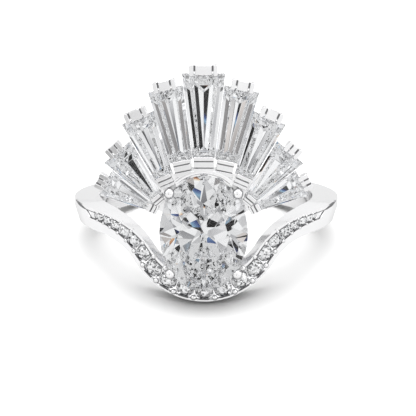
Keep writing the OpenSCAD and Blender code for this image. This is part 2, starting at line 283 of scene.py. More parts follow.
@dataclass(frozen=True)
class CutDiamond(Finish):
    """Clear diamond. A faint body tone varies through the stone, as in a near-white gem. A small
    stone also gets painted glints: its colour is broken into lighter and darker cells, some of
    them mirrors, as fine as its own facets."""

    name: str = "cut_diamond"
    clear: Colour = (0.99, 0.995, 1.0, 1.0)
    body: Colour = (0.95, 0.96, 0.975, 1.0)
    haze: float = 700.0
    refraction: float = 2.417
    mirror: Colour = (0.12, 0.12, 0.12, 1.0)
    painted_glint_scale: float = 0.0
    painted_glint_tones: Stops = ((0.0, grey(0.55)), (0.15, grey(0.75)), (0.35, grey(1.0)),
                          (0.7, grey(0.88)))
    flash_mirrors: Stops = ((0.0, grey(1.0)), (0.35, grey(0.0)), (0.55, grey(1.0)))

    def surface(self, board: Board) -> Inputs:
        """Returns the shader's inputs."""
        tone = board.mix(board.noise(self.haze), self.clear, self.body)
        inputs = {"Roughness": 0.0, "IOR": self.refraction, "Transmission Weight": 1.0,
                  "Specular Tint": self.mirror, "Base Color": tone}
        # Painted glints: cells of lighter and darker tone, some of them mirrors, stand in for
        # tiny facets.
        if self.painted_glint_scale:
            cells = board.add("ShaderNodeTexVoronoi", {
                "Vector": board.where(), "Scale": self.painted_glint_scale})["Color"]
            pick = board.add("ShaderNodeSeparateColor", {"Color": cells})["Red"]
            painted_glint = board.ramp(pick, self.painted_glint_tones, Fade.STEPS)
            inputs["Base Color"] = board.mix(1.0, tone, painted_glint, "MULTIPLY")
            inputs["Metallic"] = board.ramp(pick, self.flash_mirrors, Fade.STEPS)
        return inputs


@dataclass(frozen=True)
class PaleFloor(Finish):
    """Matt white studio floor with a barely visible mottle. In the metal's reflections the floor
    is painted darker: a painted dimming of the reflected floor.
    """

    name: str = "pale_floor"
    light: Colour = (*grey(0.9), 1.0)
    dim: Colour = (*grey(0.885), 1.0)
    painted_reflection_dim: Colour = (*grey(0.55), 1.0)
    rough: float = 0.85
    gloss: float = 0.1
    mottle: float = 40.0

    def surface(self, board: Board) -> Inputs:
        """Returns the shader's inputs."""
        tone = board.mix(board.noise(self.mottle, space="Generated"), self.light, self.dim)
        # Painted reflection: glossy rays see a darker floor, so the metal reflects it dimmer.
        seen = board.add("ShaderNodeLightPath", {})["Is Glossy Ray"]
        return {"Roughness": self.rough, "Specular IOR Level": self.gloss,
                "Base Color": board.mix(seen, tone, self.painted_reflection_dim)}


def soft_rect(wide: float, tall: float, corner: float, steps: int = 4) -> list[Point2]:
    """Works out a rectangle with rounded corners, drawn round its middle.

    Args:
        wide: full width.
        tall: full height.
        corner: radius of the corners.
        steps: segments in each corner.

    Returns:
        The outline's points, counter-clockwise.
    """
    points = []
    for quarter, (sx, sy) in enumerate(((1, 1), (-1, 1), (-1, -1), (1, -1))):
        for i in range(steps + 1):
            a = radians(90 * (quarter + i / steps))
            points.append((sx * (wide / 2 - corner) + corner * cos(a),
                           sy * (tall / 2 - corner) + corner * sin(a)))
    return points


def disc(wide: float, sides: int) -> list[Point2]:
    """Returns the points of a circle of a diameter, counter-clockwise."""
    turn = 2 * pi / sides
    return [(wide / 2 * cos(i * turn), wide / 2 * sin(i * turn)) for i in range(sides)]


def laid(here: Matrix, outline: list[Point2], height: float) -> Loop:
    """Returns an outline as a loop, at a height over the place that a matrix gives."""
    return [here @ Vector((x, y, height)) for x, y in outline]


def shown(name: str, data: bpy.types.ID) -> Piece:
    """Makes an object of a mesh, a lens or a lamp, and adds it to the scene."""
    thing = bpy.data.objects.new(name, data)
    bpy.context.scene.collection.objects.link(thing)
    return thing


@dataclass
class Bench:
    """Collects loops of points in the ring's frame and makes one object of them."""

    points: list[Vector] = field(default_factory=list)
    faces: list[tuple[int, ...]] = field(default_factory=list)

    def loft(self, loops: list[Loop], ring: bool = False) -> None:
        """Bridges closed loops of equal length, and caps the ends unless they meet.

        Args:
            loops: the loops, in order, each counter-clockwise seen from the next one.
            ring: whether the last loop joins on to the first.
        """
        start, n = len(self.points), len(loops[0])
        for loop in loops:
            self.points.extend(loop)
        for k in range(len(loops) if ring else len(loops) - 1):
            a, b = start + k * n, start + (k + 1) % len(loops) * n
            for i in range(n):
                j = (i + 1) % n
                self.faces.append((a + i, a + j, b + j, b + i))
        if not ring:
            last = start + (len(loops) - 1) * n
            self.faces.append(tuple(start + i for i in reversed(range(n))))
            self.faces.append(tuple(last + i for i in range(n)))

    def loft_both(self, loops: list[Loop]) -> None:
        """Bridges loops made for the ring's right side, and again for its left side."""
        self.loft(loops)
        self.loft([[Vector((-p.x, p.y, p.z)) for p in reversed(loop)] for loop in loops])

    def make(self, name: str, finish: Material, edges: Edges = Edges.FINE,
             crease: float = 35.0) -> Piece:
        """Makes the object, lays it down in the resting pose and rounds its edges.

        Args:
            name: the object's name.
            finish: the material that covers it.
            edges: how its sharp edges are finished.
            crease: the angle in degrees above which an edge counts as sharp.

        Returns:
            The new object, which rides on the ring's body.
        """
        mesh = bpy.data.meshes.new(name)
        place = POSE.matrix()
        mesh.from_pydata([place @ p for p in self.points], [], self.faces)
        tool = bmesh.new()
        tool.from_mesh(mesh)
        bmesh.ops.recalc_face_normals(tool, faces=tool.faces)
        tool.to_mesh(mesh)
        tool.free()
        mesh.shade_smooth()
        mesh.set_sharp_from_angle(angle=radians(crease))
        mesh.materials.append(finish)
        piece = shown(name, mesh)
        if edges is not Edges.CRISP:
            soft = piece.modifiers.new("edges", "BEVEL")
            soft.width = edges.value * MM
            soft.segments = 1 if edges is Edges.FACET else 2
            soft.limit_method = "ANGLE"
            soft.angle_limit = radians(crease)
            soft.harden_normals = edges is not Edges.FACET
        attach(piece, "root")
        return piece

    def cut_stone(self, name: str, finish: Material, node: str) -> Piece:
        """Makes a stone of flat facets, shown in place of the model's own stone.

        Args:
            name: the object's name.
            finish: the diamond's material.
            node: the model's stone.

        Returns:
            The stone.
        """
        stone = self.make(name, finish, Edges.FACET, 3.0)
        stone.data.shade_flat()
        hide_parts(node)
        return stone


@dataclass
class RowPlan:
    """The graduated row of small stones along the curved front of the band."""

    dip_r: float = 6.04
    bend_x: float = 7.735
    bend_top: float = 0.745
    largest: float = 1.22
    count: int = 10
    even: int = 4
    shrink: float = 0.885
    rim: float = 0.16
    deep: float = 0.12
    gap: float = 0.13

    def __post_init__(self) -> None:
        """Works out the arcs' centres and where each stone sits."""
        self.dip_y = self.dip_r - RING.dip
        bend_h = self.bend_top - self.dip_y
        self.bend_r = ((self.bend_x ** 2 + bend_h ** 2 - self.dip_r ** 2)
                       / (2 * (self.dip_r + bend_h)))
        self.bend_y = self.bend_top - self.bend_r
        self.turn = atan2(self.bend_x, self.dip_y - self.bend_y)
        self.rim_r = self.dip_r - RING.front_w
        self.high = self.bend_top + RING.front_w
        self.runs = [0.0]
        for k in range(self.count):
            here = self.wrap(self.stone_at(k))
            want = (self.size(k) + self.size(k + 1)) / 2 + self.gap
            s = self.runs[k] + want * 0.5
            while (self.wrap(self.line_point(s, self.inset(k + 1))) - here).length < want:
                s += 0.01
            self.runs.append(s)

    def size(self, k: int) -> float:
        """Returns the diameter of one stone, counted from the middle."""
        return self.largest * (1 if k < self.even else self.shrink ** (k - self.even + 1))

    def inset(self, k: int) -> float:
        """Returns how far one stone's centre lies below the upper rim."""
        return self.rim + self.size(k) / 2

    def line_point(self, s: float, inset: float) -> Point2:
        """Works out a point of the row in the front view.

        Args:
            s: the length run from the middle along the upper rim.
            inset: the distance below that rim.

        Returns:
            The point's x and z.
        """
        bend = self.rim_r * self.turn
        if s < bend:
            a = s / self.rim_r
            r = self.rim_r + inset
            return r * sin(a), self.dip_y - r * cos(a)
        r = self.bend_r + RING.front_w - inset
        b = (s - bend) / (self.bend_r + RING.front_w)
        if b < self.turn:
            a = self.turn - b
            return self.bend_x - r * sin(a), self.bend_y + r * cos(a)
        return self.bend_x + (b - self.turn) * (self.bend_r + RING.front_w), self.high - inset

    def wrap(self, p: Point2) -> Vector:
        """Returns a point of the front view, wrapped on the band's outer face."""
        return Vector((p[0], -sqrt(RING.outer_r ** 2 - p[0] ** 2), p[1]))

    def stone_at(self, k: int) -> Point2:
        """Returns the place of one stone in the front view."""
        return self.line_point(self.runs[k], self.inset(k))

    def height(self, x: float, inset: float) -> float:
        """Works out the height of a line that runs along the front, under the upper rim.

        Args:
            x: the distance from the middle.
            inset: the line's distance from the upper rim, the front's height at most.

        Returns:
            The line's height.
        """
        x = abs(x)
        r = self.rim_r + inset
        if x < r * sin(self.turn):
            return self.dip_y - sqrt(r * r - x * x)
        if x < self.bend_x:
            r = self.bend_r + RING.front_w - inset
            return self.bend_y + sqrt(max(0.0, r * r - (self.bend_x - x) ** 2))
        return self.high - inset

    def face(self, p: Point2, sunk: float) -> Matrix:
        """Returns the matrix that sinks a piece into the band's face, its own +Z outwards."""
        turn = Matrix.Rotation(asin(p[0] / RING.outer_r), 4, "Z")
        stand = Matrix.Rotation(pi / 2, 4, "X")
        out = Matrix.Translation((0, sunk - RING.outer_r, 0))
        return Matrix.Translation((0, 0, p[1])) @ turn @ out @ stand

    def slant(self, k: int) -> float:
        """Returns the row's slant on the band's face between a stone and the next."""
        a, b = self.stone_at(k), self.stone_at(k + 1)
        lean = cos(asin((a[0] + b[0]) / 2 / RING.outer_r))
        return atan2(b[1] - a[1], (b[0] - a[0]) / lean)


ROW = RowPlan()


@dataclass
class Band:
    """The finger ring itself: a plain shank that turns into a curved, channelled front."""

    relief: float = 0.05
    taper: float = 0.45
    bevel_z: float = 1.6
    bevel_slope: float = 0.42
    bevel_shift: float = 0.53
    flare: float = 0.275
    seam_y: float = 3.5
    under_y: float = 3.0
    row_end: float = 8.9
    close: float = 0.35
    around: int = 288

    def top(self, x: float, y: float) -> float:
        """Returns the height of the band's upper face at a place seen from above."""
        if y < -self.seam_y:
            return ROW.height(x, 0.0)
        return ROW.high - (y + self.seam_y) * self.taper / (RING.outer_r + self.seam_y)

    def bottom(self, x: float, y: float) -> float:
        """Returns the height of the band's lower face at a place seen from above."""
        if y < -self.seam_y:
            return ROW.height(x, RING.front_w)
        rise = ROW.bend_top * (self.under_y - y) / (self.seam_y + self.under_y)
        cone = (hypot(x, y) - RING.finger_r) * self.flare
        return max(rise, cone, 0.0)

    def bevel_r(self, x: float, y: float, z: float) -> float:
        """Returns how far out the band's outside reaches at a place and height."""
        if z >= self.bevel_z:
            return RING.outer_r
        cut = RING.outer_r - (self.bevel_z - z) * self.bevel_slope
        if y >= 0:
            return cut
        if abs(x) < ROW.bend_x:
            return RING.outer_r
        ahead = self.bevel_shift
        along = -y / hypot(x, y)
        reach = ahead * along + sqrt(max(0.0, cut ** 2 - (ahead ** 2) * (1 - along ** 2)))
        return min(RING.outer_r, reach)

    def row_low(self, x: float) -> float:
        """Returns the inset of the channel's lower edge, which closes up at the row's end."""
        x = abs(x)
        for k in range(ROW.count):
            a, b = ROW.stone_at(k), ROW.stone_at(k + 1)
            if x < b[0] or k == ROW.count - 1:
                share = min(1.0, (x - a[0]) / (b[0] - a[0]))
                size = ROW.size(k) + (ROW.size(k + 1) - ROW.size(k)) * share
                end = max(0.0, min(1.0, (self.row_end - x) / self.close))
                return ROW.rim + (size + 0.05) * end
        return ROW.rim

    def section(self, phi: float) -> Loop:
        """Works out the closed section at one angle round the band.

        Args:
            phi: the angle from the front, positive to the right.

        Returns:
            The section's points, round the outside from the inner top corner.
        """
        u, v = sin(phi), -cos(phi)
        x, y = RING.outer_r * u, RING.outer_r * v
        front = y < -self.seam_y
        hole = RING.finger_r + (self.relief if front else 0.0)
        inner = (hole * u, hole * v)
        top, low = self.top(x, y), self.bottom(x, y)
        loop = [Vector((*inner, self.bottom(*inner))), Vector((*inner, self.top(*inner)))]
        if front and abs(x) < self.row_end:
            edge = self.row_low(x)
            deep = min(ROW.deep, (edge - ROW.rim) * 0.5)
            marks = ((0.0, 0.0), (ROW.rim, 0.0), (ROW.rim + deep * 0.5, deep),
                     (edge - deep * 0.5, deep), (edge, 0.0))
            for inset, d in marks:
                r = RING.outer_r - d
                loop.append(Vector((r * u, r * v, ROW.height(x, inset))))
        else:
            start = ROW.rim / max(0.3, top - low)
            for share in (0.0, start, start + 0.002, start + 0.004, start + 0.006):
                loop.append(Vector((x, y, top + (low - top) * share)))
        break_z = max(low + 0.02, min(self.bevel_z, loop[-1].z - 0.02))
        for z in (break_z, low):
            r = self.bevel_r(x, y, z)
            loop.append(Vector((r * u, r * v, z)))
        return loop

    def build(self, finish: Material) -> Piece:
        """Sweeps the section round the finger and sinks the small stones' pockets.

        Args:
            finish: the metal's material.

        Returns:
            The band.
        """
        bench = Bench()
        bench.loft([self.section(2 * pi * (i + 0.5) / self.around)
                    for i in range(self.around)], ring=True)
        band = bench.make("band", finish, Edges.FINE, 30.0)
        self.sink(band)
        return band

    def sink(self, band: Piece) -> None:
        """Cuts the small stones' pockets out of the band's channel."""
        bench = Bench()
        for k in range(-ROW.count, ROW.count + 1):
            size = ROW.size(abs(k))
            x, z = ROW.stone_at(abs(k))
            face = ROW.face((copysign(x, k), z), ROW.deep)
            pocket = ((-size * 0.46, size * 0.24), (-0.03, size * 1.02), (size, size * 1.02))
            bench.loft([laid(face, disc(wide, 24), reach) for reach, wide in pocket])
        cutter = bench.make("pockets", band.data.materials[0], Edges.CRISP)
        cut = band.modifiers.new("pockets", "BOOLEAN")
        cut.operation = "DIFFERENCE"
        cut.solver = "EXACT"
        cut.object = cutter
        graph = bpy.context.evaluated_depsgraph_get()
        mesh = bpy.data.meshes.new_from_object(band.evaluated_get(graph))
        band.modifiers.clear()
        band.data = mesh
        bpy.data.objects.remove(cutter)


@dataclass
class RowBeads:
    """The round beads raised between the small stones, above and below the row."""

    share: float = 0.17
    out: float = 0.5
    sunk: float = 0.25
    straight: float = 0.19
    tall: float = 0.16
    sides: int = 12

    def build(self, finish: Material) -> Piece:
        """Makes all the beads as one object."""
        bench = Bench()
        for k in range(ROW.count):
            for row in Cut:
                bench.loft_both(self.bead(k, row))
        # The beads take the domes' metal, with painted shade round each bead's rim.
        return bench.make("row_beads", finish, Edges.CRISP, 60.0)

    def bead(self, k: int, row: Cut) -> list[Loop]:
        """Works out one bead.

        Args:
            k: the stone that it stands behind, counted from the middle.
            row: whether it stands above or below the stones.

        Returns:
            The bead's loops.
        """
        size = (ROW.size(k) + ROW.size(k + 1)) / 2
        a, b = ROW.stone_at(k), ROW.stone_at(k + 1)
        face = ROW.face(((a[0] + b[0]) / 2, (a[1] + b[1]) / 2), self.sunk)
        turn = Matrix.Rotation(ROW.slant(k), 4, "Z")
        spot = face @ turn @ Matrix.Translation((0, row.value * size * self.out, 0))
        wide = 2 * size * self.share
        loops = [laid(spot, disc(wide, self.sides), 0.0)]
        for degrees in range(0, 90, 18):
            a = radians(degrees)
            loops.append(laid(spot, disc(wide * cos(a), self.sides),
                              self.straight + self.tall * sin(a)))
        return loops


@dataclass
class RowShadeLines:
    """Painted shade along the row: a dark line on the channel's upper wall and a dark slot below
    each stone.
    """

    wall: float = 0.05
    end: float = 10.02
    swell: float = 0.17
    sunk: float = 0.1
    proud: float = 0.012
    slot: float = 0.09
    slot_long: float = 0.6
    slot_sunk: float = 0.06
    slot_tall: float = 0.07
    band: Band = field(default_factory=Band)

    def build(self, groove_shade: Material) -> Piece:
        """Makes both sides' lines as one object."""
        bench = Bench()
        bench.loft_both(self.wall_line())
        bench.loft(self.slot_below(0))
        for k in range(1, ROW.count + 1):
            bench.loft_both(self.slot_below(k))
        return bench.make("row_shade_lines", groove_shade, Edges.CRISP)

    def wall_line(self) -> list[Loop]:
        """Returns the dark line along the upper wall, painted shade, which runs out on the
        shoulder.
        """
        loops, steps = [], 90
        for i in range(steps + 1):
            x = self.end * i / steps
            share = max(0.0, (x - self.band.row_end) / (self.end - self.band.row_end))
            start = ROW.rim * max(0.0, 1 - 2.5 * share)
            thick = self.wall * (1 - 0.5 * share) + self.swell * sin(pi * share)
            loops.append([self.point(x, *corner) for corner in (
                (start, -self.sunk), (start, self.proud), (start + thick, self.proud),
                (start + thick, -self.sunk))])
        return loops

    def point(self, x: float, inset: float, out: float) -> Vector:
        """Returns a point of the band's face, set in from its upper edge."""
        r = RING.outer_r
        y = -sqrt(r * r - x * x)
        top = ROW.height(x, inset) if y < -self.band.seam_y else self.band.top(x, y) - inset
        return Vector((x * (1 + out / r), y * (1 + out / r), top))

    def slot_below(self, k: int) -> list[Loop]:
        """Returns the dark slot below one stone, painted shade, counted from the middle."""
        size = ROW.size(k)
        slant = (ROW.slant(max(0, k - 1)) + ROW.slant(min(k, ROW.count - 1))) / 2
        turn = Matrix.Rotation(slant if k else 0.0, 4, "Z")
        face = ROW.face(ROW.stone_at(k), self.slot_sunk)
        spot = face @ turn @ Matrix.Translation((0, -size / 2, 0))
        tall = self.slot * sqrt(size)
        outline = soft_rect(size * self.slot_long, tall, tall * 0.4)
        return [laid(spot, outline, 0.0), laid(spot, outline, self.slot_tall)]


@dataclass
class OvalMount:
    """What carries the oval stone: its gallery, the collar above it and four round claws."""

    claw_r: float = 0.37
    strut_lean: float = 112.0
    strut_long: float = 1.3
    collar_half: float = 2.0

    def at(self, x: float, z: float, out: float) -> Vector:
        """Returns a point of the front view at a distance from the finger's axis."""
        return Vector((x, -out, RING.oval_z + z))

    def ring_loops(self, wide: float, tall: float, thick: float, near: float, far: float,
                   corner: float) -> list[Loop]:
        """Sweeps a rounded bar round an oval.

        Args:
            wide: the oval's outer width.
            tall: its outer height.
            thick: the bar's width seen from the front.
            near: the distance from the finger's axis where the bar begins.
            far: the distance where it ends.
            corner: the radius of the bar's edges.

        Returns:
            One loop of the bar's section for each step round the oval.
        """
        bar = soft_rect(thick, far - near, corner, 3)
        loops, steps = [], 64
        for i in range(steps):
            a = 2 * pi * i / steps
            mid = Vector(((wide - thick) / 2 * cos(a), (tall - thick) / 2 * sin(a)))
            normal = Vector((cos(a) / wide, sin(a) / tall)).normalized()
            loops.append([self.at(mid.x + normal.x * u, mid.y + normal.y * u,
                                  (near + far) / 2 + v) for u, v in bar])
        return loops

    def build(self, finish: Material, domes: Material) -> list[Piece]:
        """Makes the gallery, the collar and the claws.

        Args:
            finish: the metal's material.
            domes: the material of the claws, which end in domes, each with painted shade round
                its rim.

        Returns:
            The three pieces.
        """
        gallery, collar, claws = Bench(), Bench(), Bench()
        gallery.loft(self.ring_loops(RING.oval_w - 0.2, RING.oval_l - 0.5, 0.6, RING.rail_out,
                                     RING.oval_out - 1.1, 0.15), ring=True)
        loops = self.ring_loops(RING.oval_w + 0.95, RING.oval_l + 0.8, 0.33, RING.fan_out - 1,
                                RING.oval_out - 0.1, 0.08)
        collar.loft([loop for loop in loops if loop[0].z > RING.oval_z
                     and abs(sum(p.x for p in loop) / len(loop)) < self.collar_half])
        for sx in (-1, 1):
            for sz in (-1, 1):
                self.claw(claws, sx, sz)
        return [gallery.make("gallery", finish, Edges.CRISP),
                collar.make("collar", finish, Edges.CRISP),
                claws.make("round_claws", domes, Edges.CRISP, 60.0)]

    def claw(self, bench: Bench, sx: int, sz: int) -> None:
        """Adds one round claw, which leans over the stone's edge and ends in a dome.

        Args:
            bench: where the claw is added.
            sx: -1 on the left of the stone, 1 on the right.
            sz: -1 below its middle, 1 above.
        """
        x, z = sx * (RING.oval_w / 2 - 0.7), sz * (RING.oval_l / 2 - 1.23)
        r, tip = self.claw_r, RING.oval_out + 0.35
        dome = tip - r * 0.8
        steps = [(RING.rail_out, r), (RING.oval_out - 0.5, r * 0.86),
                 (RING.oval_out - 0.1, r), (dome, r)]
        for degrees in (20, 40, 58, 74, 84):
            a = radians(degrees)
            steps.append((tip - r * 0.8 * (1 - sin(a)), r * cos(a)))
        bench.loft([[self.at(x + px, z + pz, out) for px, pz in disc(2 * wide, 24)]
                    for out, wide in steps])
        if sz < 0:
            start = self.at(x, z, RING.rail_out + 0.3)
            lean = radians(self.strut_lean)
            way = Vector((0, sin(lean), cos(lean)))
            side = Vector((1, 0, 0))
            over = way.cross(side)
            bench.loft([[start + way * t + side * px + over * pz for px, pz in disc(1.5 * r, 20)]
                        for t in (0.0, self.strut_long)])


@dataclass
class FanSeat:
    """The rail and the two claws that carry one baguette."""

    number: int
    x: float
    z: float
    lean: float
    long: float
    wide: float
    narrow: float
    grip: float
    hold: float
    foot: float
    crown: float = 0.42
    pavilion: float = 1.15
    girdle: float = 0.06
    rail_w: float = 0.55
    rail_t: float = 0.45
    past: float = 0.59
    over: float = 0.14
    gap: float = 0.04
    prong: float = 0.29
    groove: float = 0.1

    def __post_init__(self) -> None:
        """Works out the heights that the rail and the claws share, and how the foot steps."""
        self.top = self.crown + 0.16
        self.keel = -self.girdle / 2 - self.pavilion - self.gap
        self.middle = self.long + self.gap + (self.past - self.gap) / 2
        self.share = (self.foot - 0.18) / 0.77

    def place(self) -> Matrix:
        """Returns the matrix from the stone's narrow end, its own +Y along the stone."""
        side = (self.number > 5) - (self.number < 5)
        spin = Matrix.Rotation(radians(-side * self.lean), 4, "Z")
        stand = Matrix.Rotation(pi / 2, 4, "X")
        return Matrix.Translation((side * self.x, -RING.fan_out, self.z)) @ stand @ spin

    def block(self, bench: Bench, mid: Point2, size: Point2, low: float, high: float,
              corner: float) -> None:
        """Adds an upright block with rounded corners.

        Args:
            bench: where the block is added.
            mid: the block's middle, across and along the stone.
            size: its width across and along the stone.
            low: the height where it starts.
            high: the height where it ends.
            corner: the radius of its corners.
        """
        here = self.place() @ Matrix.Translation((*mid, 0))
        outline = soft_rect(*size, corner)
        bench.loft([laid(here, outline, low), laid(here, outline, high)])

    def rail(self, bench: Bench) -> None:
        """Adds the rail under the keel, which rises behind the wide end."""
        here, keel = self.place(), self.keel
        far = self.long - self.wide * 0.45
        back = self.long + self.past - 0.06
        side = [(-self.foot - 0.55, keel), (-self.foot - 0.55, keel - self.rail_t),
                (far + 0.1, keel - self.rail_t), (back, -0.7), (back, -0.1),
                (self.long + 2 * self.gap, -0.1), (far + 0.05, keel)]
        bench.loft([[here @ Vector((u, v, w)) for v, w in side]
                    for u in (-self.rail_w / 2, self.rail_w / 2)])

    def outer_claw(self, bench: Bench) -> None:
        """Adds the outer claw: a plate between two rounded prongs, with lips on the stone."""
        top, prong, middle = self.top, self.prong, self.middle
        body = self.past - self.gap
        lip = self.long + (self.past - self.over) / 2
        plate = self.grip - 2 * prong - 2 * self.groove
        self.block(bench, (0, middle), (self.grip - prong, body - 0.04), -0.3, top - 0.3, 0.04)
        self.block(bench, (0, lip), (plate, self.past + self.over - 0.1), 0.26, top - 0.1, 0.05)
        for side in (-1, 1):
            across = side * (self.grip / 2 - prong / 2)
            self.block(bench, (across, middle), (prong, body), -0.3, top - 0.2, 0.12)
            self.block(bench, (across, lip), (prong, self.past + self.over), 0.26, top, 0.12)

    def inner_claw(self, bench: Bench) -> None:
        """Adds the inner claw: a bar over the narrow end, a plate and a foot below it."""
        top, wide, share = self.top, self.hold, self.share
        self.block(bench, (0, -(self.foot + self.gap) / 2), (wide, self.foot - self.gap),
                   self.keel - self.rail_t, 0.14, 0.05)
        self.block(bench, (0, (self.over - 0.12) / 2), (wide, self.over + 0.12), 0.26, top, 0.06)
        self.block(bench, (0, -0.1), (wide * 0.96, 0.1), 0.0, 0.34, 0.04)
        for along, tall, high in ((-0.38, 0.4, top - 0.08), (-0.8, 0.3, top - 0.14)):
            self.block(bench, (0, self.step(along)), (wide, tall * share), 0.0, high,
                       0.07 * share)

    def step(self, along: float) -> float:
        """Returns where a step of a full-length foot lies on this seat's own foot."""
        return -0.18 + (along + 0.18) * self.share

    def grooves(self, bench: Bench) -> None:
        """Adds painted shade: dark blocks in the grooves beside the plate and between the steps.
        """
        across = self.grip / 2 - self.prong - self.groove / 2
        for side in (-1, 1):
            self.block(bench, (side * across, self.middle + 0.03),
                       (self.groove, self.past - 0.24), 0.1, self.top - 0.1, 0.02)
        for along, drop in ((-0.16, 0.06), (-0.6, 0.2)):
            self.block(bench, (0, self.step(along)), (self.hold * 0.96, 0.08), 0.0,
                       self.top - drop, 0.02)

    def build(self, finish: Material, groove_shade: Material) -> list[Piece]:
        """Makes the rail with both claws, and the painted shade in the claws' grooves."""
        bench, lines = Bench(), Bench()
        self.rail(bench)
        self.outer_claw(bench)
        self.inner_claw(bench)
        self.grooves(lines)
        return [bench.make(f"fan_seat_{self.number}", finish, Edges.SOFT, 40.0),
                lines.make(f"fan_groove_shade_{self.number}", groove_shade, Edges.CRISP)]


@dataclass
class Fan:
    """The nine seats of the fan, given from the middle outwards: place, lean, the stone's
    length and widths, the widths of its outer and inner claws, and its foot."""

    shapes: tuple[tuple[float, ...], ...] = (
        (0.00, 7.05, 0.0, 5.65, 2.80, 1.44, 1.88, 1.36, 0.95),
        (1.51, 6.80, 11.8, 4.99, 2.30, 1.45, 1.52, 1.16, 0.95),
        (2.68, 5.76, 23.3, 4.36, 2.26, 1.23, 1.54, 1.00, 0.72),
        (3.21, 4.38, 40.1, 4.03, 2.30, 0.79, 1.14, 0.72, 0.55),
        (3.66, 3.74, 61.7, 3.40, 1.90, 0.62, 1.06, 0.56, 0.60),
    )

    def seats(self) -> list[FanSeat]:
        """Returns the seats, from left to right."""
        return [FanSeat(i, *self.shapes[abs(i - 5)]) for i in range(1, 10)]


@dataclass
class OvalStone:
    """The oval brilliant, cut with a corner of its table at the top and at the bottom."""

    table: float = 0.58
    crown: float = 0.96
    pavilion: float = 2.5
    edge: float = 0.1
    star_at: float = 0.79
    main_at: float = 0.26
    corners: int = 8
    steps: int = 6

    def at(self, a: float, share: float, height: float) -> Vector:
        """Returns the point at an angle and a share of the girdle, in the ring's frame."""
        return Vector((RING.oval_w / 2 * share * cos(a), -RING.oval_out - height,
                       RING.oval_z + RING.oval_l / 2 * share * sin(a)))

    def level(self, share: float, turn: float, height: float) -> Loop:
        """Returns one level's corners, turned by a share of their spacing."""
        return [self.at(2 * pi * (i + turn) / self.corners, share, height)
                for i in range(self.corners)]

    def rim(self, height: float, fall: float) -> Loop:
        """Works out the girdle's edge, which follows the plane of each facet that meets it.

        Args:
            height: how far the edge stands out at the facets' corners.
            fall: the facet's drop for each share of the stone's size.

        Returns:
            The edge's points.
        """
        points, halves = [], 2 * self.corners
        for i in range(halves * self.steps):
            a = 2 * pi * i / (halves * self.steps)
            middle = (i // self.steps + 0.5) * 2 * pi / halves
            sink = fall * (cos(a - middle) - cos(pi / halves))
            points.append(self.at(a, 1.0, height - sink))
        return points

    def build(self, finish: Material) -> Piece:
        """Cuts the stone: table, stars, kites and halves above, halves and mains below.

        Args:
            finish: the diamond's material.

        Returns:
            The stone.
        """
        n, g = self.corners, 2 * self.corners * self.steps
        half, quarter = cos(pi / n), cos(pi / 2 / n)
        top = self.edge / 2
        star = self.crown * (1 - self.star_at * half) / (1 - self.table)
        root = self.pavilion * (1 - self.main_at * half)
        tip = Vector((0, -RING.oval_out + top + self.pavilion, RING.oval_z))
        bench = Bench(points=[
            *self.level(self.table, 0, top + self.crown),
            *self.level(self.star_at, 0.5, top + star),
            *self.rim(top, star / quarter / (1 - self.star_at)),
            *self.rim(-top, -root / quarter / (1 - self.main_at)),
            *self.level(self.main_at, 0.5, -top - root), tip])
        s, h = n, 2 * n
        d, m, last = h + g, h + 2 * g, h + 2 * g + n
        add = bench.faces.append
        add(tuple(range(n)))
        for i in range(n):
            before, corner = (i - 1) % n, 2 * i * self.steps
            add((i, (i + 1) % n, s + i))
            add((i, s + i, h + corner, s + before))
            add((d + corner, m + i, last, m + before))
        for i in range(2 * n):
            span = [(i * self.steps + k) % g for k in range(self.steps + 1)]
            add((s + i // 2, *(h + k for k in span)))
            add((m + i // 2, *(d + k for k in reversed(span))))
        for i in range(g):
            j = (i + 1) % g
            add((h + i, d + i, d + j, h + j))
        return bench.cut_stone("oval_brilliant", finish, "oval_diamond")


